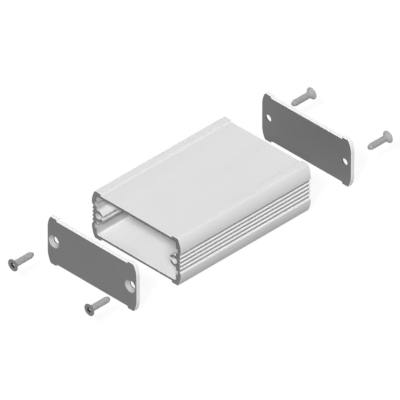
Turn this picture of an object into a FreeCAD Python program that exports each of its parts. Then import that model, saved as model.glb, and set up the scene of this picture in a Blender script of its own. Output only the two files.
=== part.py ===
import FreeCAD, Part
import math
import os
import Sketcher

# Small extruded aluminium enclosure, laid out as it comes apart: a ribbed tube section
# stands on its foot bands, and two end plates with four countersunk screws are drawn off
# along the section's length.
#
# Frame: X across the width, Y along the extrusion, Z up. The origin lies under the middle
# of the section, on the surface that the feet stand on. Every piece is drawn about the
# section's centre line and lifted by half the case height.

# Driving sizes in millimetres: name, value, what it measures.
SIZES = (
    ("case_width", 55.0, "over the two flanks"),
    ("case_height", 25.0, "over the foot bands"),
    ("case_length", 80.0, "sawn length of the section"),
    ("side_wall", 3.2, "flank to cavity"),
    ("skin", 1.4, "top and bottom wall"),
    ("foot_width", 5.7, "flank to the inner edge of a foot band"),
    ("foot_step", 1.0, "foot band above the flat face"),
    ("foot_fillet", 0.4, "both corners of the step"),
    ("shoulder_drop", 6.5, "foot plane to the end of the straight flank"),
    ("shoulder_radius", 12.0, "large curve from flank towards corner"),
    ("corner_radius", 1.2, "small curve on to the foot band"),
    ("cavity_fillet", 1.0, "inner corners"),
    ("slot_drop", 3.4, "cavity ceiling to the board slot"),
    ("slot_height", 1.8, "board slot opening"),
    ("slot_depth", 1.2, "board slot into the side wall"),
    ("channel_inset", 4.0, "flank to the screw axis"),
    ("channel_radius", 3.05, "outside of the screw channel"),
    ("channel_mouth", 1.5, "slit along the screw channel"),
    ("channel_fillet", 0.3, "lips of the screw channel"),
    ("thread_clearance", 0.05, "screw to screw channel, per side"),
    ("grip_depth", 0.3, "ribbed field below the flank"),
    ("grip_margin", 0.55, "ribbed field beyond the outer grooves"),
    ("groove_depth", 0.6, "groove below the ribbed field"),
    ("groove_pitch", 2.1, "groove to groove"),
    ("groove_mouth", 1.4, "groove width at the ribbed field"),
    ("groove_floor", 0.95, "groove width at its floor"),
    ("groove_pairs", 2, "grooves above the middle one, and as many below"),
    ("rib_fillet", 0.25, "both shoulders of a rib, at most half its width"),
    ("plate_thickness", 2.0, "end plate"),
    ("plate_chamfer", 0.15, "edge break round both faces of an end plate"),
    ("plate_travel", 25.0, "how far an end plate is drawn off"),
    ("plate_gap", 0.05, "end plate to the sawn end when seated"),
    ("hole_clearance", 0.15, "screw to end plate, per side"),
    ("screw_length", 12.0, "overall"),
    ("screw_diameter", 3.0, "over the thread"),
    ("screw_travel", 25.0, "how far a screw is drawn out of its plate"),
    ("head_diameter", 5.9, "countersunk head"),
    ("head_rim", 0.15, "straight rim of the head"),
    ("head_clearance", 0.1, "head to countersink, per side"),
    ("point_length", 1.35, "tapered point"),
    ("point_reduction", 0.6, "taper of the point, per side"),
    ("recess_depth", 1.1, "six-lobed drive recess"),
    ("recess_core", 1.05, "radius of the recess between its lobes"),
    ("lobe_radius", 0.35, "each lobe of the recess"),
)
LOBES = 6
RIB_FILLET_LIMIT = 0.49
COUNTERSINK_ANGLE = 90.0
VOLUME_TOLERANCE = 1e-6
PLACE_TOLERANCE = 1e-4

doc = FreeCAD.newDocument("enclosure")
sheet = doc.addObject("Spreadsheet::Sheet", "sizes")
for row, (alias, value, note) in enumerate(SIZES, start=1):
    sheet.set(f"A{row}", note)
    sheet.set(f"B{row}", str(value))
    sheet.setAlias(f"B{row}", alias)
doc.recompute()


class Length:
    """A length from the sheet: its formula binds the model, its value places what is drawn."""

    def __init__(self, formula, value):
        self.formula = formula
        self.value = value

    def __add__(self, other):
        return Length(f"({self.formula} + {other.formula})", self.value + other.value)

    def __sub__(self, other):
        return Length(f"({self.formula} - {other.formula})", self.value - other.value)

    def __mul__(self, factor):
        if not isinstance(factor, Length):
            factor = Length(factor, factor)
        return Length(f"({self.formula} * {factor.formula})", self.value * factor.value)

    def __truediv__(self, divisor):
        return Length(f"({self.formula} / {divisor})", self.value / divisor)

    def __neg__(self):
        return Length(f"(-{self.formula})", -self.value)


def size(alias):
    return Length(f"sizes.{alias}", float(sheet.get(alias)))


def smaller(first, second):
    return Length(f"min({first.formula}; {second.formula})", min(first.value, second.value))


ZERO = Length("0", 0.0)

# Lengths that several pieces share, measured from the section's centre line.
half_width = size("case_width") / 2
half_height = size("case_height") / 2
half_length = size("case_length") / 2
face_height = half_height - size("foot_step")
foot_edge = half_width - size("foot_width")
cavity_half_width = half_width - size("side_wall")
cavity_half_height = face_height - size("skin")
screw_offset = half_width - size("channel_inset")
screw_radius = size("screw_diameter") / 2
head_radius = size("head_diameter") / 2
hole_diameter = size("screw_diameter") + size("hole_clearance") * 2
countersink_diameter = (head_radius + size("head_rim") + size("head_clearance")) * 2
plate_face = half_length + size("plate_gap") + size("plate_travel") + size("plate_thickness")
screw_face = plate_face + size("screw_travel")


# Sketch helpers. A point of a sketch is a pair: geometry number, and 1 start, 2 end, 3 centre.
START, END, CENTRE = 1, 2, 3
ORIGIN = (-1, 1)


def new_body(label, x, y, turned=False):
    """A piece whose own origin lies on the section's centre line, turned to face the other way."""
    body = doc.addObject("PartDesign::Body", label)
    body.Label = label
    if turned:
        body.Placement.Rotation = FreeCAD.Rotation(FreeCAD.Vector(0, 0, 1), 180)
    body.setExpression("Placement.Base.x", x.formula)
    body.setExpression("Placement.Base.y", y.formula)
    body.setExpression("Placement.Base.z", half_height.formula)
    return body


def origin_part(body, role):
    return next(part for part in body.Origin.OriginFeatures if part.Role == role)


def new_sketch(body, name, plane="XZ_Plane"):
    sketch = body.newObject("Sketcher::SketchObject", name)
    sketch.AttachmentSupport = [(origin_part(body, plane), "")]
    sketch.MapMode = "FlatFace"
    return sketch


def line(sketch, x1, y1, x2, y2):
    start = FreeCAD.Vector(x1, y1, 0)
    end = FreeCAD.Vector(x2, y2, 0)
    return sketch.addGeometry(Part.LineSegment(start, end))


def arc(sketch, centre_x, centre_y, radius, first_angle, last_angle):
    circle = Part.Circle(FreeCAD.Vector(centre_x, centre_y, 0), FreeCAD.Vector(0, 0, 1), radius)
    return sketch.addGeometry(Part.ArcOfCircle(circle, first_angle, last_angle))


def hold(sketch, kind, *where, length=None):
    """A constraint of the sketch, driven by a length of the sheet if one is given."""
    if length is None:
        sketch.addConstraint(Sketcher.Constraint(kind, *where))
        return
    index = sketch.addConstraint(Sketcher.Constraint(kind, *where, length.value))
    sketch.setExpression(f"Constraints[{index}]", length.formula)


def place(sketch, point, x=None, y=None):
    """Hold a point of the sketch at its distances from the origin."""
    if x is not None:
        hold(sketch, "DistanceX", *ORIGIN, *point, length=x)
    if y is not None:
        hold(sketch, "DistanceY", *ORIGIN, *point, length=y)


def polygon(sketch, corners):
    """Straight sides through the corners, each held at its place."""
    sides = []
    for (x1, y1), (x2, y2) in zip(corners, corners[1:] + corners[:1]):
        sides.append(line(sketch, x1.value, y1.value, x2.value, y2.value))
    for side, following in zip(sides, sides[1:] + sides[:1]):
        hold(sketch, "Coincident", side, END, following, START)
    for side, (x, y) in zip(sides, corners):
        place(sketch, (side, START), x, y)


def circle(sketch, x, y, radius):
    ring = Part.Circle(FreeCAD.Vector(x.value, y.value, 0), FreeCAD.Vector(0, 0, 1), radius.value)
    index = sketch.addGeometry(ring)
    place(sketch, (index, CENTRE), x, y)
    hold(sketch, "Radius", index, length=radius)


def pad(body, sketch, name, length):
    """A solid as long as given, half to each side of the sketch."""
    feature = body.newObject("PartDesign::Pad", name)
    feature.Profile = sketch
    feature.SideType = "Symmetric"
    feature.setExpression("Length", length.formula)
    doc.recompute()


def cut_along(body, sketch, name):
    """A cut along the whole piece, to both sides of the sketch."""
    before = body.Shape.Volume
    feature = body.newObject("PartDesign::Pocket", name)
    feature.Profile = sketch
    feature.SideType = "Symmetric"
    feature.Type = "ThroughAll"
    doc.recompute()
    must_shrink(body, name, before)
    return feature


def must_shrink(body, name, before):
    if body.Shape.Volume > before - VOLUME_TOLERANCE:
        raise RuntimeError(f"{name} cuts nothing from {body.Label}")


def mirror_whole(body, role):
    """The whole piece so far, joined to its mirror image across a plane of its origin."""
    feature = body.newObject("PartDesign::Mirrored", "mirror_" + role.lower())
    feature.TransformMode = "Whole shape"
    feature.MirrorPlane = (origin_part(body, role), [""])
    body.Tip = feature
    doc.recompute()


def edge_along(body, x, z):
    """The name of the straight edge that runs along the section at this place."""
    for number, edge in enumerate(body.Tip.Shape.Edges, start=1):
        first = edge.Vertexes[0].Point
        last = edge.Vertexes[-1].Point
        runs_along = math.hypot(first.x - last.x, first.z - last.z) < PLACE_TOLERANCE
        at_place = math.hypot(first.x - x, first.z - z) < PLACE_TOLERANCE
        if runs_along and at_place:
            return f"Edge{number}"
    raise RuntimeError(f"no edge at {x}, {z} of {body.Label}")


def round_edges(body, name, spots, radius):
    """Round the edges that run along the section at these places."""
    base = body.Tip
    names = [edge_along(body, x, z) for x, z in spots]
    feature = body.newObject("PartDesign::Fillet", name)
    feature.Base = (base, names)
    feature.setExpression("Radius", radius.formula)
    doc.recompute()


def outline_quarter(body):
    """A quarter of the outline: straight flank, shoulder, corner, foot band, step, flat face."""
    sketch = new_sketch(body, "outline")
    shoulder_radius = size("shoulder_radius")
    corner_radius = size("corner_radius")
    flank_end = half_height - size("shoulder_drop")

    # The corner curve touches the foot plane and lies inside the shoulder curve.
    shoulder_x = half_width.value - shoulder_radius.value
    corner_y = half_height.value - corner_radius.value
    reach = shoulder_radius.value - corner_radius.value
    rise = corner_y - flank_end.value
    corner_x = shoulder_x + math.sqrt(reach ** 2 - rise ** 2)
    turn = math.atan2(rise, corner_x - shoulder_x)

    base = line(sketch, 0, 0, half_width.value, 0)
    flank = line(sketch, half_width.value, 0, half_width.value, flank_end.value)
    shoulder = arc(sketch, shoulder_x, flank_end.value, shoulder_radius.value, 0, turn)
    corner = arc(sketch, corner_x, corner_y, corner_radius.value, turn, math.pi / 2)
    foot = line(sketch, corner_x, half_height.value, foot_edge.value, half_height.value)
    step = line(sketch, foot_edge.value, half_height.value, foot_edge.value, face_height.value)
    face = line(sketch, foot_edge.value, face_height.value, 0, face_height.value)
    middle = line(sketch, 0, face_height.value, 0, 0)

    hold(sketch, "Coincident", base, START, *ORIGIN)
    hold(sketch, "Coincident", base, END, flank, START)
    hold(sketch, "Tangent", flank, END, shoulder, START)
    hold(sketch, "Tangent", shoulder, END, corner, START)
    hold(sketch, "Tangent", corner, END, foot, START)
    hold(sketch, "Coincident", foot, END, step, START)
    hold(sketch, "Coincident", step, END, face, START)
    hold(sketch, "Coincident", face, END, middle, START)
    hold(sketch, "Coincident", middle, END, base, START)
    for level in (base, foot, face):
        hold(sketch, "Horizontal", level)
    for upright in (flank, step, middle):
        hold(sketch, "Vertical", upright)
    place(sketch, (base, END), x=half_width)
    place(sketch, (flank, END), y=flank_end)
    hold(sketch, "Radius", shoulder, length=shoulder_radius)
    hold(sketch, "Radius", corner, length=corner_radius)
    place(sketch, (foot, END), x=foot_edge, y=half_height)
    place(sketch, (step, END), y=face_height)
    return sketch


def round_foot(body):
    """Both corners of the step between the foot band and the flat face."""
    corners = [(foot_edge.value, half_height.value), (foot_edge.value, face_height.value)]
    round_edges(body, "foot_rounding", corners, size("foot_fillet"))


def extruded_body():
    """The section: a quarter is built with all its details and mirrored twice."""
    body = new_body("extruded_body", ZERO, ZERO)
    length = size("case_length")
    pad(body, outline_quarter(body), "section", length)
    round_foot(body)

    cavity = new_sketch(body, "cavity_sketch")
    polygon(cavity, [(ZERO, ZERO), (cavity_half_width, ZERO),
                     (cavity_half_width, cavity_half_height), (ZERO, cavity_half_height)])
    cut_along(body, cavity, "cavity")
    round_edges(body, "cavity_rounding", [(cavity_half_width.value, cavity_half_height.value)],
                size("cavity_fillet"))

    slot = new_sketch(body, "board_slot_sketch")
    slot_top = cavity_half_height - size("slot_drop")
    slot_bottom = slot_top - size("slot_height")
    slot_floor = cavity_half_width + size("slot_depth")
    polygon(slot, [(cavity_half_width, slot_bottom), (slot_floor, slot_bottom),
                   (slot_floor, slot_top), (cavity_half_width, slot_top)])
    cut_along(body, slot, "board_slot")

    screw_channel(body, length)
    ribbed_flank(body)
    mirror_whole(body, "YZ_Plane")
    mirror_whole(body, "XY_Plane")
    return body


def screw_channel(body, length):
    """Half of the C-shaped channel that the end screws run into: a boss, a bore and a slit."""
    radius = size("channel_radius")
    mouth = size("channel_mouth") / 2
    bore_radius = screw_radius + size("thread_clearance")

    boss = new_sketch(body, "channel_boss_sketch")
    rim = arc(boss, screw_offset.value, 0, radius.value, 0, math.pi)
    flat = line(boss, screw_offset.value - radius.value, 0, screw_offset.value + radius.value, 0)
    hold(boss, "Coincident", rim, END, flat, START)
    hold(boss, "Coincident", flat, END, rim, START)
    place(boss, (rim, CENTRE), x=screw_offset, y=ZERO)
    place(boss, (flat, START), y=ZERO)
    place(boss, (flat, END), y=ZERO)
    hold(boss, "Radius", rim, length=radius)
    pad(body, boss, "channel_boss", length)

    bore = new_sketch(body, "channel_bore_sketch")
    mouth_angle = math.pi - math.asin(mouth.value / bore_radius.value)
    outer_x = screw_offset.value - radius.value
    ring = arc(bore, screw_offset.value, 0, bore_radius.value, 0, mouth_angle)
    meet_x = screw_offset.value + bore_radius.value * math.cos(mouth_angle)
    lip = line(bore, meet_x, mouth.value, outer_x, mouth.value)
    front = line(bore, outer_x, mouth.value, outer_x, 0)
    floor = line(bore, outer_x, 0, screw_offset.value + bore_radius.value, 0)
    hold(bore, "Coincident", ring, END, lip, START)
    hold(bore, "Coincident", lip, END, front, START)
    hold(bore, "Coincident", front, END, floor, START)
    hold(bore, "Coincident", floor, END, ring, START)
    hold(bore, "Horizontal", lip)
    place(bore, (ring, CENTRE), x=screw_offset, y=ZERO)
    hold(bore, "Radius", ring, length=bore_radius)
    place(bore, (lip, END), x=screw_offset - radius, y=mouth)
    place(bore, (floor, START), x=screw_offset - radius, y=ZERO)
    place(bore, (floor, END), y=ZERO)
    cut_along(body, bore, "channel_bore")

    lip_x = screw_offset.value - math.sqrt(radius.value ** 2 - mouth.value ** 2)
    round_edges(body, "channel_lips", [(lip_x, mouth.value)], size("channel_fillet"))


def ribbed_flank(body):
    """Half of the ribbed field: a shallow recess in the flank with grooves repeated up it."""
    field_depth = half_width - size("grip_depth")
    groove_half = size("groove_mouth") / 2
    outer_groove = size("groove_pitch") * size("groove_pairs")
    field_half = outer_groove + groove_half + size("grip_margin")
    field = new_sketch(body, "grip_sketch")
    polygon(field, [(field_depth, ZERO), (half_width, ZERO),
                    (half_width, field_half), (field_depth, field_half)])
    cut_along(body, field, "grip_field")

    groove = new_sketch(body, "groove_sketch")
    groove_floor = field_depth - size("groove_depth")
    floor_half = size("groove_floor") / 2
    polygon(groove, [(groove_floor, -floor_half), (field_depth, -groove_half),
                     (field_depth, groove_half), (groove_floor, floor_half)])
    first = cut_along(body, groove, "groove")

    rows = body.newObject("PartDesign::LinearPattern", "groove_rows")
    rows.Originals = [first]
    rows.Direction = (groove, ["V_Axis"])
    rows.Mode = "Spacing"
    rows.setExpression("Offset", size("groove_pitch").formula)
    rows.setExpression("Occurrences", "sizes.groove_pairs + 1")
    body.Tip = rows
    doc.recompute()

    shoulders = [groove_half]
    for row in range(1, int(size("groove_pairs").value) + 1):
        middle = size("groove_pitch") * row
        shoulders += [middle - groove_half, middle + groove_half]
    rib_width = size("groove_pitch") - size("groove_mouth")
    radius = smaller(size("rib_fillet"), rib_width * RIB_FILLET_LIMIT)
    round_edges(body, "rib_rounding", [(field_depth.value, z.value) for z in shoulders], radius)


def end_plate(label, side):
    """A plate of the section's outline, outer face on its own origin plane, with two screw holes."""
    turned = side > 0
    body = new_body(label, ZERO, plate_face * side, turned)
    plate = body.newObject("PartDesign::Pad", "plate")
    plate.Profile = outline_quarter(body)
    plate.Reversed = True
    plate.setExpression("Length", size("plate_thickness").formula)
    doc.recompute()
    round_foot(body)
    mirror_whole(body, "YZ_Plane")
    mirror_whole(body, "XY_Plane")

    faces = [f"Face{number}" for number, face in enumerate(body.Shape.Faces, start=1)
             if abs(face.normalAt(0, 0).y) > 1 - PLACE_TOLERANCE]
    base = body.Tip
    edge_break = body.newObject("PartDesign::Chamfer", "edge_break")
    edge_break.Base = (base, faces)
    edge_break.setExpression("Size", size("plate_chamfer").formula)
    doc.recompute()

    centres = new_sketch(body, "hole_sketch")
    for x in (-screw_offset, screw_offset):
        circle(centres, x, ZERO, hole_diameter / 2)
    doc.recompute()
    before = body.Shape.Volume
    holes = body.newObject("PartDesign::Hole", "screw_holes")
    holes.Profile = centres
    holes.DepthType = "ThroughAll"
    holes.HoleCutType = "Countersink"
    holes.HoleCutCustomValues = True
    holes.HoleCutCountersinkAngle = COUNTERSINK_ANGLE
    holes.setExpression("Diameter", hole_diameter.formula)
    holes.setExpression("HoleCutDiameter", countersink_diameter.formula)
    doc.recompute()
    must_shrink(body, "screw_holes", before)
    return body


def countersunk_screw(label, side, hand):
    """A screw turned about its own Y axis, head face on its origin plane, tip towards the case."""
    turned = side > 0
    body = new_body(label, screw_offset * hand, screw_face * side, turned)
    head_depth = size("head_rim") + head_radius - screw_radius
    thread_end = size("screw_length") - size("point_length")
    tip_radius = screw_radius - size("point_reduction")

    half_section = new_sketch(body, "half_section", "XY_Plane")
    polygon(half_section, [
        (ZERO, ZERO),
        (head_radius, ZERO),
        (head_radius, size("head_rim")),
        (screw_radius, head_depth),
        (screw_radius, thread_end),
        (tip_radius, size("screw_length")),
        (ZERO, size("screw_length")),
    ])
    turned_form = body.newObject("PartDesign::Revolution", "turned_form")
    turned_form.Profile = half_section
    turned_form.ReferenceAxis = (half_section, ["V_Axis"])
    doc.recompute()

    before = body.Shape.Volume
    core = new_sketch(body, "recess_core_sketch")
    circle(core, ZERO, ZERO, size("recess_core"))
    recess = body.newObject("PartDesign::Pocket", "recess_core")
    recess.Profile = core
    recess.setExpression("Length", size("recess_depth").formula)
    doc.recompute()
    must_shrink(body, "recess_core", before)

    before = body.Shape.Volume
    lobe_sketch = new_sketch(body, "lobe_sketch")
    circle(lobe_sketch, ZERO, size("recess_core"), size("lobe_radius"))
    lobe = body.newObject("PartDesign::Pocket", "lobe")
    lobe.Profile = lobe_sketch
    lobe.setExpression("Length", size("recess_depth").formula)
    doc.recompute()
    lobes = body.newObject("PartDesign::PolarPattern", "lobes")
    lobes.Originals = [lobe]
    lobes.Axis = (lobe_sketch, ["N_Axis"])
    lobes.Occurrences = LOBES
    body.Tip = lobes
    doc.recompute()
    must_shrink(body, "lobes", before)
    return body


# The front is the end towards -Y, and left is -X.
pieces = [extruded_body()]
for end, side in (("front", -1), ("rear", 1)):
    pieces.append(end_plate(f"{end}_end_plate", side))
    for hand_name, hand in (("left", -1), ("right", 1)):
        pieces.append(countersunk_screw(f"{end}_{hand_name}_screw", side, hand))
doc.recompute()

for item in doc.Objects:
    if "Invalid" in item.State or "Error" in item.State:
        raise RuntimeError(f"{item.Label} failed: {item.State}")
for piece in pieces:
    if piece.Shape.isNull() or not piece.Shape.isValid():
        raise RuntimeError(f"{piece.Label} has no valid shape")

os.makedirs("parts", exist_ok=True)
for piece in pieces:
    piece.Shape.exportStep(f"parts/{piece.Label}.step")
    box = piece.Shape.BoundBox
    print(f"{piece.Label}: {len(piece.Shape.Solids)} solid, {piece.Shape.Volume:.2f} mm3, "
          f"x {box.XMin:.2f}..{box.XMax:.2f}, y {box.YMin:.2f}..{box.YMax:.2f}, "
          f"z {box.ZMin:.2f}..{box.ZMax:.2f}")
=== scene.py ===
import math

import bmesh
import bpy
from bpy.props import FloatProperty, FloatVectorProperty, IntProperty, PointerProperty
from bpy.types import NodeSocket, Operator, Panel, PropertyGroup
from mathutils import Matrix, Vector


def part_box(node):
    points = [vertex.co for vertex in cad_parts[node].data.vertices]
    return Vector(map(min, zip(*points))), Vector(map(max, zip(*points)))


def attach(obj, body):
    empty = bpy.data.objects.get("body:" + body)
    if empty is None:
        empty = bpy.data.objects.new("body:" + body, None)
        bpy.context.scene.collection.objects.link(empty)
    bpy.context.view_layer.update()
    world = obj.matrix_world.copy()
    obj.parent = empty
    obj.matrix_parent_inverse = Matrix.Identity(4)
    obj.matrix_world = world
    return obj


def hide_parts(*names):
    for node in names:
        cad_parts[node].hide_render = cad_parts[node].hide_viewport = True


bl_info = {
    "name": "Extruded enclosure",
    "version": (1, 0, 0),
    "blender": (4, 5, 0),
    "location": "3D View > Sidebar > Enclosure",
    "description": "Finishes the extruded section, its end plates and its threaded screws, and lights them",
    "category": "Object",
}

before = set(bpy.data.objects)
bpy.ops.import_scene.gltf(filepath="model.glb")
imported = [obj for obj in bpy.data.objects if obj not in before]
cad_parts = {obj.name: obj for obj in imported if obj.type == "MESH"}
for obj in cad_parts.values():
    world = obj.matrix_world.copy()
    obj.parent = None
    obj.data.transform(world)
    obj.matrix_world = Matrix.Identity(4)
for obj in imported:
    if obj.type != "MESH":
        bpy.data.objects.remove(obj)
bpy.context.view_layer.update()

MERGE_DISTANCE = 1e-6
MILLIMETRE = 0.001

# Noise and rings lie mostly between these two values.
PATTERN_LOW = 0.3
PATTERN_HIGH = 0.7
NOISE_ROUGHNESS = 0.6
# Distance between the rings of a wave texture whose scale is one.
RING_PERIOD = math.pi / 10
# A length in metres over which a pattern doesn't change on any piece.
UNCHANGING = 1.0
# The hair lines on the section are this many times closer and shorter than the die lines.
HAIR_CLOSER = 4
HAIR_SHORTER = 3
# How far the wear lowers and raises the roughness of the plating.
PLATING_SMOOTHER = 0.15
PLATING_ROUGHER = 0.1
# Numbers of the Mix node's first input, second input and output, for each kind of data.
MIX_SOCKETS = {"RGBA": (6, 7, 2), "FLOAT": (2, 3, 0)}

# How far from a broad face of a plate a point still counts as lying in it.
FACE_REACH = 0.012 * MILLIMETRE
# How far past its surface a zone of the section reaches, and the width over which its tone comes in.
ZONE_REACH = 0.3 * MILLIMETRE
ZONE_FADE = 0.6 * MILLIMETRE
# How far behind the groove floors the zone of the ribs' painted highlight begins, and the distances from
# those floors between which the painted shade of the grooves fades away.
RIB_REACH = 0.1 * MILLIMETRE
GROOVE_FADE = (0.05 * MILLIMETRE, 0.25 * MILLIMETRE)

# How much of a face's normal must lie along Y for a flat end, a sawn face and a floor of the recess.
FLAT_END = 0.99
SAWN_FACE = 0.9
RECESS_BOTTOM = 0.5
# Largest turn between faces that are shaded as one surface.
SECTION_SMOOTH_ANGLE = math.radians(30)
SCREW_SMOOTH_ANGLE = math.radians(32)

# Material slots of the section and of the screws.
ANODISED, SAWN = range(2)
PLATING, HEAD_FACE, RECESS_WALL, RECESS_FLOOR = range(4)

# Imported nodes, and the bodies that carry them.
SECTION_NODE = "extruded_body"
PLATE_NODES = ("front_end_plate", "rear_end_plate")
MODEL_SCREW = "front_left_screw"
SCREWS = {
    "front_left_screw": "screw_front_left",
    "front_right_screw": "screw_front_right",
    "rear_left_screw": "screw_rear_left",
    "rear_right_screw": "screw_rear_right",
}

# Shape of a metric thread, as shares of its pitch.
THREAD_DEPTH = 0.6134
THREAD_ROOT = 0.25
THREAD_MOUTH = 0.875

# How wide each lamp looks, and the direction that it shines from.
LAMPS = {
    "key": (math.radians(12), (0.32, -0.64, 0.70)),
    "front": (math.radians(16), (0.63, -0.55, 0.55)),
    "fill": (math.radians(60), (-0.72, 0.69, 0.05)),
}
# How far the camera sees, as a share of its distance from the target.
CLIP_SHARE = 2


# Settings


class SectionSettings(PropertyGroup):
    """The extruded section, its clear anodised finish and the painted light and shade of its zones."""

    edge_break: FloatProperty(
        name="Edge break", description="Chamfer filed round the sawn ends",
        default=0.1 * MILLIMETRE, min=0.0, unit="LENGTH", precision=5,
    )
    tone: FloatVectorProperty(
        name="Anodised tone", description="Colour of the anodised surface",
        default=(0.70, 0.70, 0.70), size=3, subtype="COLOR", min=0.0, max=1.0,
    )
    # Painted highlight: the ribs between the grooves are coloured lighter than the rest of the flank,
    # standing in for the light that their crests catch.
    rib_highlight_tone: FloatVectorProperty(
        name="Rib tone",
        description="Colour of the ribs between the flank's grooves, which handling keeps bright",
        default=(0.82, 0.82, 0.82), size=3, subtype="COLOR", min=0.0, max=1.0,
    )
    # Painted shade: the floors of the flank's grooves are coloured darker, standing in for the shade that the
    # ribs cast into them.
    groove_shade_tone: FloatVectorProperty(
        name="Groove tone", description="Colour of the floors of the flank's grooves, which stay duller",
        default=(0.36, 0.36, 0.36), size=3, subtype="COLOR", min=0.0, max=1.0,
    )
    # Painted shade: the cavity's side walls, slots and bores are coloured darker than its floor, for the
    # shade on the upright faces inside the section.
    wall_shade_tone: FloatVectorProperty(
        name="Wall tone", description="Colour of the cavity's side walls, slots and bores, which stay duller",
        default=(0.50, 0.50, 0.50), size=3, subtype="COLOR", min=0.0, max=1.0,
    )
    # Painted light: the cavity's floor and ceiling are coloured lighter than the outside, making up for the
    # shade that falls inside the section.
    cavity_light_tone: FloatVectorProperty(
        name="Cavity tone", description="Colour of the cavity's floor and ceiling",
        default=(0.84, 0.84, 0.84), size=3, subtype="COLOR", min=0.0, max=1.0,
    )
    wall_thickness: FloatProperty(
        name="Wall thickness", description="Thickness of the side walls",
        default=3.2 * MILLIMETRE, min=0.0, unit="LENGTH", precision=4,
    )
    cavity_floor: FloatProperty(
        name="Cavity floor", description="Height of the cavity's floor above the foot bands",
        default=2.4 * MILLIMETRE, min=0.0, unit="LENGTH", precision=4,
    )
    groove_depth: FloatProperty(
        name="Groove depth", description="From the flank to the floors of its grooves",
        default=0.9 * MILLIMETRE, min=0.0, unit="LENGTH", precision=4,
    )
    groove_field: FloatProperty(
        name="Groove field", description="Height of the part of the flank that the grooves fill",
        default=10.9 * MILLIMETRE, min=0.0, unit="LENGTH", precision=4,
    )
    metal: FloatProperty(
        name="Metal", description="How far the anodised surface mirrors its surroundings",
        default=0.06, min=0.0, max=1.0, subtype="FACTOR",
    )
    roughness: FloatProperty(
        name="Roughness", description="Mean roughness of the anodised surface",
        default=0.34, min=0.0, max=1.0, subtype="FACTOR",
    )
    roughness_change: FloatProperty(
        name="Roughness change", description="How far the die lines raise and lower the roughness",
        default=0.06, min=0.0, max=1.0, subtype="FACTOR",
    )
    specular: FloatProperty(
        name="Specular", description="Strength of the reflection at the anodised surface",
        default=0.25, min=0.0, max=1.0, subtype="FACTOR",
    )
    contrast: FloatProperty(
        name="Contrast", description="How far the die lines and clouds lighten and darken the tones",
        default=0.045, min=0.0, max=1.0, subtype="FACTOR",
    )
    cloud_width: FloatProperty(
        name="Cloud width", description="Width of the faint clouds in the anodising",
        default=14 * MILLIMETRE, min=1 * MILLIMETRE, unit="LENGTH",
    )
    cloud_length: FloatProperty(
        name="Cloud length", description="Length of the faint clouds along the extrusion",
        default=30 * MILLIMETRE, min=1 * MILLIMETRE, unit="LENGTH",
    )
    line_spacing: FloatProperty(
        name="Die line spacing", description="Distance between the lines that the die leaves",
        default=0.35 * MILLIMETRE, min=0.01 * MILLIMETRE, unit="LENGTH", precision=5,
    )
    line_length: FloatProperty(
        name="Die line length", description="Length over which a die line changes",
        default=60 * MILLIMETRE, min=1 * MILLIMETRE, unit="LENGTH",
    )
    line_relief: FloatProperty(
        name="Die line relief", description="Height of the die lines",
        default=0.006 * MILLIMETRE, min=0.0, unit="LENGTH", precision=6,
    )
    # Painted shade: the sawn ends are coloured far darker than the anodised sides, standing in for the shade
    # on faces turned along the extrusion.
    sawn_shade_tone: FloatVectorProperty(
        name="Sawn tone", description="Colour of the sawn ends",
        default=(0.205, 0.205, 0.205), size=3, subtype="COLOR", min=0.0, max=1.0,
    )
    saw_mark: FloatProperty(
        name="Saw mark spacing", description="Distance between the marks of the saw",
        default=0.25 * MILLIMETRE, min=0.01 * MILLIMETRE, unit="LENGTH", precision=5,
    )
    saw_radius: FloatProperty(
        name="Saw radius", description="Radius of the blade that cut the section to length",
        default=125 * MILLIMETRE, min=10 * MILLIMETRE, unit="LENGTH",
    )
    sawn_grit: FloatProperty(
        name="Sawn grit", description="Size of the grit between the marks of the saw",
        default=0.08 * MILLIMETRE, min=0.01 * MILLIMETRE, unit="LENGTH", precision=5,
    )
    sawn_relief: FloatProperty(
        name="Sawn relief", description="Height of the marks of the saw",
        default=0.01 * MILLIMETRE, min=0.0, unit="LENGTH", precision=5,
    )


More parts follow.
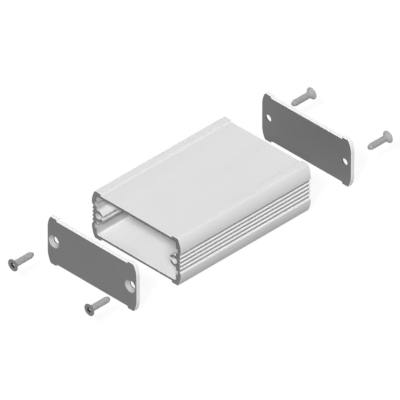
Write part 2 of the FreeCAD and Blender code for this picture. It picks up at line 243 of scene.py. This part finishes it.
class PlateSettings(PropertyGroup):
    """The end plates: brushed faces and bores darkened as painted shade, bright cut edges and countersinks.
    """

    # Painted shade: the broad faces are coloured dark grey, standing in for the shade on faces turned along
    # the extrusion; the cut rim keeps the metal's own light colour.
    face_shade_tone: FloatVectorProperty(
        name="Face tone", description="Colour of the broad faces",
        default=(0.163, 0.163, 0.163), size=3, subtype="COLOR", min=0.0, max=1.0,
    )
    edge_tone: FloatVectorProperty(
        name="Edge tone", description="Colour of the cut rim",
        default=(0.84, 0.84, 0.84), size=3, subtype="COLOR", min=0.0, max=1.0,
    )
    countersink_tone: FloatVectorProperty(
        name="Countersink tone", description="Colour of the countersinks",
        default=(0.45, 0.45, 0.45), size=3, subtype="COLOR", min=0.0, max=1.0,
    )
    # Painted shade: the screw holes are coloured near black, for the shade inside them.
    bore_shade_tone: FloatVectorProperty(
        name="Bore tone", description="Colour inside the screw holes",
        default=(0.05, 0.05, 0.05), size=3, subtype="COLOR", min=0.0, max=1.0,
    )
    countersink_diameter: FloatProperty(
        name="Countersink diameter", description="Diameter of the countersinks at the face",
        default=6.4 * MILLIMETRE, min=1.0 * MILLIMETRE, unit="LENGTH", precision=4,
    )
    bore_diameter: FloatProperty(
        name="Bore diameter", description="Diameter of the screw holes below their countersinks",
        default=3.3 * MILLIMETRE, min=0.5 * MILLIMETRE, unit="LENGTH", precision=4,
    )
    brush_spacing: FloatProperty(
        name="Brush line spacing", description="Distance between the brushed lines",
        default=0.2 * MILLIMETRE, min=0.01 * MILLIMETRE, unit="LENGTH", precision=5,
    )
    brush_length: FloatProperty(
        name="Brush line length", description="Length of the brushed lines",
        default=14 * MILLIMETRE, min=0.1 * MILLIMETRE, unit="LENGTH",
    )
    turning_spacing: FloatProperty(
        name="Turning mark spacing", description="Distance between the rings that the countersink leaves",
        default=0.11 * MILLIMETRE, min=0.01 * MILLIMETRE, unit="LENGTH", precision=5,
    )
    turning_grit: FloatProperty(
        name="Turning grit", description="Size of the grit between the rings of the countersink",
        default=0.15 * MILLIMETRE, min=0.01 * MILLIMETRE, unit="LENGTH", precision=5,
    )
    rim_mark: FloatProperty(
        name="Rim mark length", description="Length of the marks across the cut rim",
        default=1.5 * MILLIMETRE, min=0.1 * MILLIMETRE, unit="LENGTH", precision=4,
    )
    cloud: FloatProperty(
        name="Cloud size", description="Size of the faint clouds on the broad faces",
        default=12 * MILLIMETRE, min=1 * MILLIMETRE, unit="LENGTH",
    )
    mark_relief: FloatProperty(
        name="Mark relief", description="Height of the brushed lines and of the other marks",
        default=0.006 * MILLIMETRE, min=0.0, unit="LENGTH", precision=6,
    )


class ScrewSettings(PropertyGroup):
    """The countersunk screws and their thread."""

    diameter: FloatProperty(
        name="Thread diameter", description="Outer diameter of the thread",
        default=3.0 * MILLIMETRE, min=1.0 * MILLIMETRE, unit="LENGTH", precision=4,
    )
    pitch: FloatProperty(
        name="Pitch", description="Distance from one turn of the thread to the next",
        default=0.5 * MILLIMETRE, min=0.1 * MILLIMETRE, unit="LENGTH", precision=4,
    )
    head_depth: FloatProperty(
        name="Head depth", description="From the face of the head to the shank",
        default=1.6 * MILLIMETRE, min=0.0, unit="LENGTH", precision=4,
    )
    neck: FloatProperty(
        name="Neck", description="Plain shank between the head and the thread",
        default=0.35 * MILLIMETRE, min=0.0, unit="LENGTH", precision=4,
    )
    steps: IntProperty(
        name="Steps in a turn", description="How many flats one turn of the thread has",
        default=36, min=12, max=96,
    )
    tone: FloatVectorProperty(
        name="Plating tone", description="Colour of the zinc plating",
        default=(0.40, 0.40, 0.41), size=3, subtype="COLOR", min=0.0, max=1.0,
    )
    roughness: FloatProperty(
        name="Roughness", description="Mean roughness of the plating",
        default=0.6, min=0.0, max=1.0, subtype="FACTOR",
    )
    metal: FloatProperty(
        name="Metal", description="How far the plating mirrors its surroundings",
        default=0.3, min=0.0, max=1.0, subtype="FACTOR",
    )
    cloud: FloatProperty(
        name="Cloud size", description="Size of the clouds in the plating",
        default=0.8 * MILLIMETRE, min=0.05 * MILLIMETRE, unit="LENGTH", precision=4,
    )
    scratch_length: FloatProperty(
        name="Scratch length", description="Length of the scratches round the screw",
        default=0.9 * MILLIMETRE, min=0.05 * MILLIMETRE, unit="LENGTH", precision=4,
    )
    scratch_spacing: FloatProperty(
        name="Scratch spacing", description="Distance between the scratches round the screw",
        default=0.06 * MILLIMETRE, min=0.01 * MILLIMETRE, unit="LENGTH", precision=5,
    )
    wear_relief: FloatProperty(
        name="Wear relief", description="Height of the clouds and scratches",
        default=0.012 * MILLIMETRE, min=0.0, unit="LENGTH", precision=6,
    )
    # Painted shade: the flat face of the head is coloured darker than the rest of the screw, for the shade on
    # faces turned along the screw.
    face_shade_tone: FloatVectorProperty(
        name="Head face tone", description="Colour of the flat face of the head, which is left dull",
        default=(0.19, 0.19, 0.195), size=3, subtype="COLOR", min=0.0, max=1.0,
    )
    face_roughness: FloatProperty(
        name="Head face roughness", description="Mean roughness of the flat face of the head",
        default=0.55, min=0.0, max=1.0, subtype="FACTOR",
    )
    # Painted shade: the walls of the drive recess are coloured near black, for the shade inside the recess.
    recess_shade_tone: FloatVectorProperty(
        name="Recess tone", description="Colour of the walls of the drive recess",
        default=(0.03, 0.03, 0.03), size=3, subtype="COLOR", min=0.0, max=1.0,
    )
    # Painted highlight: the floor of the drive recess is coloured near white, for the light that it catches.
    recess_floor_highlight_tone: FloatVectorProperty(
        name="Recess floor tone",
        description="Colour of the floor of the drive recess, which catches the light",
        default=(0.90, 0.90, 0.90), size=3, subtype="COLOR", min=0.0, max=1.0,
    )
    recess_floor_roughness: FloatProperty(
        name="Recess floor roughness", description="Mean roughness of the floor of the drive recess",
        default=0.5, min=0.0, max=1.0, subtype="FACTOR",
    )
    recess_diameter: FloatProperty(
        name="Recess diameter", description="Circle that the drive recess lies inside",
        default=2.9 * MILLIMETRE, min=0.5 * MILLIMETRE, unit="LENGTH", precision=4,
    )


class StageSettings(PropertyGroup):
    """Camera, floor and lamps."""

    azimuth: FloatProperty(
        name="Azimuth", description="Turn of the camera about the vertical, from the front towards the right",
        default=math.radians(45.0), subtype="ANGLE",
    )
    elevation: FloatProperty(
        name="Elevation", description="Height of the camera above the horizontal",
        default=math.atan(math.sqrt(0.5)), subtype="ANGLE",
    )
    view_width: FloatProperty(
        name="View width", description="Width that the picture takes in at the target",
        default=174.2 * MILLIMETRE, min=10 * MILLIMETRE, unit="LENGTH",
    )
    lens: FloatProperty(
        name="Lens", description="Focal length in millimetres; a long one draws close to an isometric view",
        default=1650.0, min=50.0,
    )
    target: FloatVectorProperty(
        name="Target", description="Point that the camera looks at",
        default=(-0.56 * MILLIMETRE, -0.30 * MILLIMETRE, 12.76 * MILLIMETRE), size=3, subtype="TRANSLATION",
    )
    floor_size: FloatProperty(
        name="Floor size", description="Side of the floor",
        default=4.0, min=0.5, unit="LENGTH",
    )
    floor_tone: FloatVectorProperty(
        name="Floor tone", description="Colour of the floor",
        default=(0.14, 0.14, 0.14), size=3, subtype="COLOR", min=0.0, max=1.0,
    )
    floor_lift: FloatProperty(
        name="Floor lift", description="Light that the floor adds where the camera or a mirror sees it",
        default=0.88, min=0.0, max=1.0,
    )
    ambient: FloatProperty(
        name="Ambient", description="Strength of the even light from all round",
        default=0.13, min=0.0,
    )
    key: FloatProperty(
        name="Key lamp", description="Brightness of a white face turned to the lamp in front and above",
        default=0.67, min=0.0,
    )
    front: FloatProperty(
        name="Front lamp", description="Brightness of a white face turned to the lamp at the camera",
        default=0.60, min=0.0,
    )
    fill: FloatProperty(
        name="Fill lamp", description="Brightness of a white face turned to the low lamp behind on the left",
        default=0.65, min=0.0,
    )


# Shader nodes


def new_finish(name, metal=0.0):
    """Start a material, and give it with its tree and its shader."""
    finish = bpy.data.materials.new(name)
    finish.use_nodes = True
    tree = finish.node_tree
    shader = tree.nodes["Principled BSDF"]
    shader.inputs["Metallic"].default_value = metal
    return finish, tree, shader


def add_node(tree, kind, options=None, inputs=None):
    """Add a node, set its options, and set or link its inputs."""
    node = tree.nodes.new(kind)
    for option, value in (options or {}).items():
        setattr(node, option, value)
    for key, value in (inputs or {}).items():
        if isinstance(value, NodeSocket):
            tree.links.new(value, node.inputs[key])
        else:
            node.inputs[key].default_value = value
    return node


def calculate(tree, operation, *values):
    """One step of arithmetic on sockets and numbers."""
    return add_node(tree, "ShaderNodeMath", {"operation": operation}, dict(enumerate(values))).outputs[0]


def object_place(tree):
    """The surface's own coordinates in metres, which slide with the piece."""
    return add_node(tree, "ShaderNodeTexCoord").outputs["Object"]


def grain(tree, spacing, detail=3.0):
    """Noise whose marks are as long as spacing says along each axis, in metres."""
    place = add_node(tree, "ShaderNodeMapping", inputs={
        "Vector": object_place(tree), "Scale": [1 / length for length in spacing]})
    noise = add_node(tree, "ShaderNodeTexNoise", inputs={
        "Vector": place.outputs[0], "Scale": 1.0, "Detail": detail, "Roughness": NOISE_ROUGHNESS})
    return noise.outputs["Fac"]


def rings(tree, place, spacing, distortion):
    """Rings about the Y axis through the origin of the given coordinates."""
    wave = add_node(tree, "ShaderNodeTexWave", {
        "wave_type": "RINGS", "rings_direction": "Y"}, {
        "Vector": place, "Scale": RING_PERIOD / spacing, "Distortion": distortion,
        "Detail": 2.0, "Detail Scale": 1.5})
    return wave.outputs["Fac"]


def blend_of(tree, first, second, share):
    """Two patterns added together, the second with the given share."""
    return calculate(tree, "MULTIPLY_ADD", second, share,
                     calculate(tree, "MULTIPLY", first, 1 - share))


def tones(tree, pattern, colour, contrast):
    """A colour that the pattern makes a little darker and lighter."""
    ramp = add_node(tree, "ShaderNodeValToRGB", inputs={"Fac": pattern})
    stops = ((PATTERN_LOW, 1 - contrast), (PATTERN_HIGH, 1 + contrast))
    for element, (position, factor) in zip(ramp.color_ramp.elements, stops):
        element.position = position
        element.color = [min(1.0, channel * factor) for channel in colour] + [1.0]
    return ramp.outputs["Color"]


def spread(tree, pattern, low, high):
    """The pattern as a number between low and high."""
    return add_node(tree, "ShaderNodeMapRange", inputs={
        "Value": pattern, "From Min": PATTERN_LOW, "From Max": PATTERN_HIGH,
        "To Min": low, "To Max": high}).outputs["Result"]


def fade(tree, value, near, far, first, last):
    """A share that goes softly from first to last while the value goes from near to far."""
    return add_node(tree, "ShaderNodeMapRange", {"interpolation_type": "SMOOTHSTEP"}, {
        "Value": value, "From Min": near, "From Max": far, "To Min": first, "To Max": last}).outputs["Result"]


def zoned(tree, zones, first, *others):
    """The first pattern, with each of the others where its zone is one; zones further on win."""
    kind = "RGBA" if first.type == "RGBA" else "FLOAT"
    below, above, mixed = MIX_SOCKETS[kind]
    result = first
    for zone, pattern in zip(zones, others):
        mix = add_node(tree, "ShaderNodeMix", {"data_type": kind}, {0: zone, below: result, above: pattern})
        result = mix.outputs[mixed]
    return result


def relief(tree, pattern, depth):
    """A bump of the given depth in metres."""
    return add_node(tree, "ShaderNodeBump", inputs={
        "Height": pattern, "Distance": depth, "Strength": 1.0}).outputs["Normal"]


def connect(tree, shader, **sockets):
    """Link patterns to the shader's sockets, whose names have underscores for spaces here."""
    for name, socket in sockets.items():
        tree.links.new(socket, shader.inputs[name.replace("_", " ")])


def section_zones(tree, settings, flank, middle_height):
    """Shares of the cavity's floor and ceiling, of its side walls, of the ribs and of the groove floors,
    where light and shade are painted.
    """
    axes = add_node(tree, "ShaderNodeSeparateXYZ", inputs={0: object_place(tree)}).outputs
    across = calculate(tree, "ABSOLUTE", axes["X"])
    height = calculate(tree, "ABSOLUTE", calculate(tree, "SUBTRACT", axes["Z"], middle_height))
    wall = flank - settings.wall_thickness
    groove_floor = flank - settings.groove_depth
    cavity = middle_height - settings.cavity_floor

    under_skin = calculate(tree, "MULTIPLY", calculate(tree, "LESS_THAN", across, wall),
                           calculate(tree, "LESS_THAN", height, cavity + ZONE_REACH))
    floors = calculate(tree, "MULTIPLY", under_skin, fade(tree, height, cavity - ZONE_FADE, cavity, 0.0, 1.0))
    inside = calculate(tree, "MULTIPLY", calculate(tree, "LESS_THAN", across, groove_floor - ZONE_REACH),
                       calculate(tree, "LESS_THAN", height, cavity))
    walls = calculate(tree, "MULTIPLY", inside, fade(tree, across, wall - ZONE_FADE, wall, 0.0, 1.0))

    field = calculate(tree, "LESS_THAN", height, settings.groove_field / 2)
    ribs = calculate(tree, "MULTIPLY", field,
                     calculate(tree, "GREATER_THAN", across, groove_floor - RIB_REACH))
    rise = calculate(tree, "ABSOLUTE", calculate(tree, "SUBTRACT", across, groove_floor))
    grooves = calculate(tree, "MULTIPLY", field, fade(tree, rise, *GROOVE_FADE, 1.0, 0.0))
    return floors, walls, ribs, grooves


def anodised_finish(settings, flank, middle_height):
    """Clear anodised aluminium with the lines of the die along the extrusion, and painted light and shade in
    the zones of the section.
    """
    finish, tree, shader = new_finish("anodised_aluminium", settings.metal)
    die = grain(tree, (settings.line_spacing, settings.line_length, settings.line_spacing))
    hair_spacing = settings.line_spacing / HAIR_CLOSER
    hair = grain(tree, (hair_spacing, settings.line_length / HAIR_SHORTER, hair_spacing))
    cloud = grain(tree, (settings.cloud_width, settings.cloud_length, settings.cloud_width), detail=2.0)
    lines = blend_of(tree, die, hair, share=0.4)
    marks = blend_of(tree, lines, cloud, share=0.35)
    shader.inputs["Specular IOR Level"].default_value = settings.specular
    colours = (settings.tone, settings.cavity_light_tone, settings.wall_shade_tone, settings.rib_highlight_tone,
               settings.groove_shade_tone)
    connect(
        tree, shader,
        Base_Color=zoned(tree, section_zones(tree, settings, flank, middle_height),
                         *(tones(tree, marks, colour, settings.contrast) for colour in colours)),
        Roughness=spread(tree, lines, settings.roughness - settings.roughness_change,
                         settings.roughness + settings.roughness_change),
        Normal=relief(tree, lines, settings.line_relief),
    )
    return finish


def sawn_finish(settings):
    """Bare aluminium with the shallow arcs of the saw blade, coloured dark as painted shade."""
    finish, tree, shader = new_finish("sawn_aluminium", metal=0.4)
    below = add_node(tree, "ShaderNodeMapping", inputs={
        "Vector": object_place(tree), "Location": (0.0, 0.0, settings.saw_radius)})
    arcs = rings(tree, below.outputs[0], settings.saw_mark, distortion=1.5)
    grit = grain(tree, (settings.sawn_grit,) * 3)
    marks = blend_of(tree, arcs, grit, share=0.5)
    connect(
        tree, shader,
        Base_Color=tones(tree, marks, settings.sawn_shade_tone, contrast=0.2),
        Roughness=spread(tree, marks, low=0.5, high=0.65),
        Normal=relief(tree, marks, settings.sawn_relief),
    )
    return finish


def distance_from_screws(tree, place, screw_offset, screw_height):
    """Coordinates about the nearer screw axis, and the distance from that axis."""
    axes = add_node(tree, "ShaderNodeSeparateXYZ", inputs={0: place}).outputs
    across = calculate(tree, "SUBTRACT", calculate(tree, "ABSOLUTE", axes["X"]), screw_offset)
    upward = calculate(tree, "SUBTRACT", axes["Z"], screw_height)
    centred = add_node(tree, "ShaderNodeCombineXYZ", inputs={0: across, 1: axes["Y"], 2: upward})
    radius = calculate(tree, "SQRT", calculate(
        tree, "MULTIPLY_ADD", across, across, calculate(tree, "MULTIPLY", upward, upward)))
    return centred.outputs[0], radius


def plate_finish(settings, inner_face, outer_face, screw_offset, screw_height):
    """Brushed faces and bores darkened as painted shade, a bright cut rim and turned countersinks."""
    finish, tree, shader = new_finish("plate_aluminium", metal=0.15)
    place = object_place(tree)
    axes = add_node(tree, "ShaderNodeSeparateXYZ", inputs={0: place}).outputs
    depth = calculate(tree, "ABSOLUTE", axes["Y"])
    centred, radius = distance_from_screws(tree, place, screw_offset, screw_height)
    countersink = calculate(tree, "LESS_THAN", radius, settings.countersink_diameter / 2 + FACE_REACH)
    bore = calculate(tree, "LESS_THAN", radius, settings.bore_diameter / 2 + FACE_REACH)
    broad = calculate(tree, "MAXIMUM", *(
        calculate(tree, "COMPARE", depth, face, FACE_REACH) for face in (inner_face, outer_face)))
    zones = (countersink, bore, broad)

    sheared = grain(tree, (settings.brush_spacing, settings.rim_mark, settings.brush_spacing))
    turned = blend_of(tree, rings(tree, centred, settings.turning_spacing, distortion=0.2),
                      grain(tree, (settings.turning_grit,) * 3), share=0.4)
    brushed = blend_of(
        tree, grain(tree, (settings.brush_length, UNCHANGING, settings.brush_spacing), detail=4.0),
        grain(tree, (settings.cloud,) * 3, detail=2.0), share=0.3)
    connect(
        tree, shader,
        Base_Color=zoned(
            tree, zones,
            tones(tree, sheared, settings.edge_tone, contrast=0.05),
            tones(tree, turned, settings.countersink_tone, contrast=0.08),
            tones(tree, turned, settings.bore_shade_tone, contrast=0.1),
            tones(tree, brushed, settings.face_shade_tone, contrast=0.14),
        ),
        Roughness=zoned(
            tree, zones,
            spread(tree, sheared, low=0.4, high=0.5),
            spread(tree, turned, low=0.6, high=0.72),
            spread(tree, turned, low=0.5, high=0.6),
            spread(tree, brushed, low=0.46, high=0.62),
        ),
        Normal=relief(tree, zoned(tree, zones, sheared, turned, turned, brushed), settings.mark_relief),
    )
    return finish


def plated_finish(settings, name, colour, roughness):
    """Zinc plate on steel, with faint clouds and fine scratches."""
    finish, tree, shader = new_finish(name, settings.metal)
    cloud = grain(tree, (settings.cloud,) * 3, detail=5.0)
    scratches = grain(tree, (settings.scratch_length, settings.scratch_spacing, settings.scratch_length))
    wear = blend_of(tree, cloud, scratches, share=0.4)
    connect(
        tree, shader,
        Base_Color=tones(tree, wear, colour, contrast=0.16),
        Roughness=spread(tree, wear, roughness - PLATING_SMOOTHER, roughness + PLATING_ROUGHER),
        Normal=relief(tree, wear, settings.wear_relief),
    )
    return finish


# Modelling helpers


def activate(piece):
    """Select one object alone and make it the active one."""
    bpy.ops.object.select_all(action="DESELECT")
    piece.select_set(True)
    bpy.context.view_layer.objects.active = piece


def select_faces(piece, chosen):
    """In edit mode, select the faces for which chosen(face) holds."""
    mesh = bmesh.from_edit_mesh(piece.data)
    for face in mesh.faces:
        face.select_set(False)
    for face in mesh.faces:
        if chosen(face):
            face.select_set(True)
    bmesh.update_edit_mesh(piece.data)


def select_edges(piece, chosen):
    """In edit mode, select the edges for which chosen(place) holds at both ends."""
    mesh = bmesh.from_edit_mesh(piece.data)
    for edge in mesh.edges:
        edge.select_set(all(chosen(vertex.co) for vertex in edge.verts))
    bmesh.update_edit_mesh(piece.data)


def middle_of(node):
    """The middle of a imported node."""
    low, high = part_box(node)
    return (low + high) / 2


def copy_of_node(node, name):
    """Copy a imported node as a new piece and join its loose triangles."""
    piece = bpy.data.objects.new(name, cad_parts[node].data.copy())
    bpy.context.scene.collection.objects.link(piece)
    activate(piece)
    bpy.ops.mesh.customdata_custom_splitnormals_clear()
    bpy.ops.object.mode_set(mode="EDIT")
    bpy.ops.mesh.select_all(action="SELECT")
    bpy.ops.mesh.remove_doubles(threshold=MERGE_DISTANCE)
    bpy.ops.object.mode_set(mode="OBJECT")
    piece.data.materials.clear()
    return piece


def apply_modifier(piece, kind, **options):
    """Add a modifier, set its options and apply it."""
    activate(piece)
    bpy.ops.object.modifier_add(type=kind)
    modifier = piece.modifiers[-1]
    for option, value in options.items():
        setattr(modifier, option, value)
    bpy.ops.object.modifier_apply(modifier=modifier.name)


# Pieces


def break_end_edges(piece, end, end_face, width):
    """File a small chamfer round one sawn end, inside and outside."""
    bpy.ops.object.mode_set(mode="EDIT")
    bpy.ops.mesh.select_mode(type="FACE")
    select_faces(piece, lambda face: face.normal.y * end > FLAT_END
                 and abs(face.calc_center_median().y - end_face) < width)
    bpy.ops.transform.translate(value=(0.0, -end * width, 0.0))
    bpy.ops.mesh.inset(thickness=width, depth=width, use_even_offset=True)
    bpy.ops.object.mode_set(mode="OBJECT")


class ENCLOSURE_OT_section(Operator):
    """Make the extruded section with its filed sawn ends"""

    bl_idname = "enclosure.section"
    bl_label = "Extruded section"

    def execute(self, context):
        settings = context.scene.enclosure_section
        low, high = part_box(SECTION_NODE)
        section = copy_of_node(SECTION_NODE, "ribbed_section")
        break_end_edges(section, -1, low.y, settings.edge_break)
        break_end_edges(section, 1, high.y, settings.edge_break)
        section.data.materials.append(anodised_finish(settings, high.x, (low.z + high.z) / 2))
        section.data.materials.append(sawn_finish(settings))
        for polygon in section.data.polygons:
            polygon.material_index = SAWN if abs(polygon.normal.y) > SAWN_FACE else ANODISED
        activate(section)
        bpy.ops.object.shade_smooth_by_angle(angle=SECTION_SMOOTH_ANGLE)
        apply_modifier(section, "WEIGHTED_NORMAL", keep_sharp=True)
        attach(section, "section")
        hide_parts(SECTION_NODE)
        return {"FINISHED"}


class ENCLOSURE_OT_plates(Operator):
    """Finish the two end plates"""

    bl_idname = "enclosure.plates"
    bl_label = "End plates"

    def execute(self, context):
        settings = context.scene.enclosure_plates
        low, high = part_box("rear_end_plate")
        screw = middle_of("rear_right_screw")
        finish = plate_finish(settings, low.y, high.y, abs(screw.x), screw.z)
        for node in PLATE_NODES:
            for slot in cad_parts[node].material_slots:
                slot.material = finish
        return {"FINISHED"}


def thread_groove(settings, start, length):
    """The helical V between the turns of the thread, as a closed solid round the Y axis."""
    outer = settings.diameter / 2
    depth = THREAD_DEPTH * settings.pitch
    mouth = THREAD_MOUTH * settings.pitch
    bpy.ops.object.select_all(action="DESELECT")
    bpy.ops.mesh.primitive_plane_add(size=1.0)
    groove = bpy.context.object
    groove.scale = (depth, mouth, 1.0)
    groove.location = (outer - depth / 2, start, 0.0)
    bpy.ops.object.transform_apply(location=True, rotation=True, scale=True)

    bpy.ops.object.mode_set(mode="EDIT")
    bpy.ops.mesh.select_mode(type="EDGE")
    bpy.ops.mesh.select_all(action="SELECT")
    bpy.ops.mesh.delete(type="ONLY_FACE")
    select_edges(groove, lambda place: place.x < outer - depth / 2)
    bpy.ops.transform.resize(value=(1.0, THREAD_ROOT / THREAD_MOUTH, 1.0),
                             center_override=(outer - depth, start, 0.0))
    select_edges(groove, lambda place: place.x > outer - depth / 2)
    bpy.ops.mesh.extrude_region_move(TRANSFORM_OT_translate={"value": (depth, 0.0, 0.0)})
    select_edges(groove, lambda place: abs(place.x - outer) < MERGE_DISTANCE)
    bpy.ops.mesh.delete(type="EDGE")
    bpy.ops.object.mode_set(mode="OBJECT")

    apply_modifier(groove, "SCREW", axis="Y", angle=math.tau, screw_offset=settings.pitch,
                   iterations=math.ceil(length / settings.pitch), steps=settings.steps,
                   render_steps=settings.steps)
    bpy.ops.object.mode_set(mode="EDIT")
    bpy.ops.mesh.select_mode(type="EDGE")
    bpy.ops.mesh.select_all(action="SELECT")
    bpy.ops.mesh.fill_holes(sides=0)
    bpy.ops.mesh.select_all(action="SELECT")
    bpy.ops.mesh.normals_make_consistent(inside=False)
    bpy.ops.object.mode_set(mode="OBJECT")
    return groove


def threaded_screw(settings):
    """The front left screw with a thread cut round its shank."""
    low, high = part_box(MODEL_SCREW)
    axis = middle_of(MODEL_SCREW)
    screw = copy_of_node(MODEL_SCREW, "threaded_" + MODEL_SCREW)
    start = low.y + settings.head_depth + settings.neck
    groove = thread_groove(settings, start, high.y - start)
    groove.location = (axis.x, 0.0, axis.z)
    apply_modifier(screw, "BOOLEAN", operation="DIFFERENCE", object=groove, solver="EXACT")
    bpy.data.objects.remove(groove)
    activate(screw)
    bpy.ops.object.shade_smooth_by_angle(angle=SCREW_SMOOTH_ANGLE)
    return screw


def slot_of(settings, polygon, face, axis):
    """The material slot of a polygon of the screw whose head has the given face and axis."""
    if abs(polygon.center.y - face) < MERGE_DISTANCE:
        return HEAD_FACE
    radius = math.hypot(polygon.center.x - axis.x, polygon.center.z - axis.z)
    in_recess = radius < settings.recess_diameter / 2 and polygon.center.y < face + settings.head_depth
    if not in_recess:
        return PLATING
    return RECESS_WALL if abs(polygon.normal.y) < RECESS_BOTTOM else RECESS_FLOOR


def plate_screw(settings, screw):
    """Give the screw its plating, with painted shade on the head's face and on the recess walls, and a
    painted highlight on the recess floor.
    """
    for name, colour, roughness in (
            ("zinc_plate", settings.tone, settings.roughness),
            ("zinc_plate_painted_shade", settings.face_shade_tone, settings.face_roughness),
            ("recess_wall", settings.recess_shade_tone, settings.roughness),
            ("recess_floor", settings.recess_floor_highlight_tone, settings.recess_floor_roughness)):
        screw.data.materials.append(plated_finish(settings, name, colour, roughness))
    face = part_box(MODEL_SCREW)[0].y
    axis = middle_of(MODEL_SCREW)
    for polygon in screw.data.polygons:
        polygon.material_index = slot_of(settings, polygon, face, axis)


def copy_of_screw(model, node):
    """Copy the model screw to another screw's place, turned round where that one points forwards."""
    model_middle = middle_of(MODEL_SCREW)
    middle = middle_of(node)
    activate(model)
    bpy.ops.object.duplicate(linked=False)
    screw = bpy.context.object
    screw.name = "threaded_" + node
    bpy.ops.object.mode_set(mode="EDIT")
    bpy.ops.mesh.select_all(action="SELECT")
    if middle.y > 0:
        bpy.ops.transform.rotate(value=math.pi, orient_axis="Z", center_override=model_middle)
    bpy.ops.transform.translate(value=middle - model_middle)
    bpy.ops.object.mode_set(mode="OBJECT")
    return screw


class ENCLOSURE_OT_screws(Operator):
    """Make the four countersunk screws with their threads"""

    bl_idname = "enclosure.screws"
    bl_label = "Threaded screws"

    def execute(self, context):
        settings = context.scene.enclosure_screws
        model = threaded_screw(settings)
        plate_screw(settings, model)
        for node, body in SCREWS.items():
            screw = model if node == MODEL_SCREW else copy_of_screw(model, node)
            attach(screw, body)
            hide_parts(node)
        return {"FINISHED"}


# Stage


def seen_directly(tree):
    """One for rays from the camera, and for rays that a mirror or glass sends on."""
    path = add_node(tree, "ShaderNodeLightPath").outputs
    return calculate(tree, "MAXIMUM", path["Is Camera Ray"],
                     calculate(tree, "MAXIMUM", path["Is Glossy Ray"], path["Is Transmission Ray"]))


def floor_finish(settings):
    """Pale matt floor that shows white and keeps the shadow."""
    finish, tree, shader = new_finish("pale_floor")
    tree.nodes.remove(shader)
    matt = add_node(tree, "ShaderNodeBsdfDiffuse", inputs={"Color": (*settings.floor_tone, 1.0)})
    lift = add_node(tree, "ShaderNodeEmission", inputs={
        "Strength": calculate(tree, "MULTIPLY", seen_directly(tree), settings.floor_lift)})
    both = add_node(tree, "ShaderNodeAddShader", inputs={0: matt.outputs[0], 1: lift.outputs[0]})
    tree.links.new(both.outputs[0], tree.nodes["Material Output"].inputs["Surface"])
    return finish


def add_lamp(name, brightness, spread_angle, direction):
    """A soft lamp far away, at which a white face shows with the given brightness.

    Reflections show the white background instead of it.
    """
    bpy.ops.object.light_add(type="SUN")
    lamp = bpy.context.object
    lamp.name = name
    lamp.data.energy = brightness * math.pi
    lamp.data.angle = spread_angle
    lamp.rotation_euler = Vector(direction).to_track_quat("Z", "Y").to_euler()
    lamp.visible_glossy = False


def light_world(ambient):
    """Even light from all round, which the camera sees as white."""
    world = bpy.data.worlds.new("studio")
    bpy.context.scene.world = world
    world.use_nodes = True
    tree = world.node_tree
    strength = add_node(tree, "ShaderNodeMapRange", inputs={
        "Value": seen_directly(tree), "To Min": ambient, "To Max": 1.0})
    background = tree.nodes["Background"]
    background.inputs["Color"].default_value = (1.0, 1.0, 1.0, 1.0)
    tree.links.new(strength.outputs["Result"], background.inputs["Strength"])


class ENCLOSURE_OT_stage(Operator):
    """Set up the floor, the lamps and the camera"""

    bl_idname = "enclosure.stage"
    bl_label = "Studio"

    def execute(self, context):
        settings = context.scene.enclosure_stage
        scene = context.scene
        scene.view_settings.view_transform = "Standard"
        target = Vector(settings.target)

        bpy.ops.object.select_all(action="DESELECT")
        bpy.ops.mesh.primitive_plane_add(size=settings.floor_size)
        floor = context.object
        floor.name = "floor"
        floor.data.materials.append(floor_finish(settings))

        for name, (spread_angle, direction) in LAMPS.items():
            add_lamp(name, getattr(settings, name), spread_angle, direction)
        light_world(settings.ambient)

        flat = math.cos(settings.elevation)
        direction = Vector((flat * math.sin(settings.azimuth), -flat * math.cos(settings.azimuth),
                            math.sin(settings.elevation)))
        bpy.ops.object.camera_add()
        camera = context.object
        camera.data.lens = settings.lens
        distance = settings.view_width * settings.lens / camera.data.sensor_width
        camera.location = target + direction * distance
        camera.rotation_euler = direction.to_track_quat("Z", "Y").to_euler()
        camera.data.clip_end = distance * CLIP_SHARE
        scene.camera = camera
        return {"FINISHED"}


# Sidebar


OPERATORS = (ENCLOSURE_OT_section, ENCLOSURE_OT_plates, ENCLOSURE_OT_screws, ENCLOSURE_OT_stage)
SETTINGS = {
    "enclosure_section": SectionSettings,
    "enclosure_plates": PlateSettings,
    "enclosure_screws": ScrewSettings,
    "enclosure_stage": StageSettings,
}


class ENCLOSURE_PT_sidebar(Panel):
    """Sizes, colours and steps of the enclosure"""

    bl_label = "Enclosure"
    bl_idname = "ENCLOSURE_PT_sidebar"
    bl_space_type = "VIEW_3D"
    bl_region_type = "UI"
    bl_category = "Enclosure"

    def draw(self, context):
        for group, operator in zip(SETTINGS, OPERATORS):
            box = self.layout.box()
            settings = getattr(context.scene, group)
            for name in SETTINGS[group].__annotations__:
                box.prop(settings, name)
            box.operator(operator.bl_idname)


CLASSES = (*SETTINGS.values(), *OPERATORS, ENCLOSURE_PT_sidebar)


def register():
    """Add the settings, the operators and the sidebar to Blender."""
    for item in CLASSES:
        bpy.utils.register_class(item)
    for group, settings in SETTINGS.items():
        setattr(bpy.types.Scene, group, PointerProperty(type=settings))


def unregister():
    """Take out what register adds."""
    for group in SETTINGS:
        delattr(bpy.types.Scene, group)
    for item in reversed(CLASSES):
        bpy.utils.unregister_class(item)


def main():
    """Build the object and its stage."""
    register()
    bpy.ops.enclosure.section()
    bpy.ops.enclosure.plates()
    bpy.ops.enclosure.screws()
    bpy.ops.enclosure.stage()


if __name__ == "__main__":
    main()
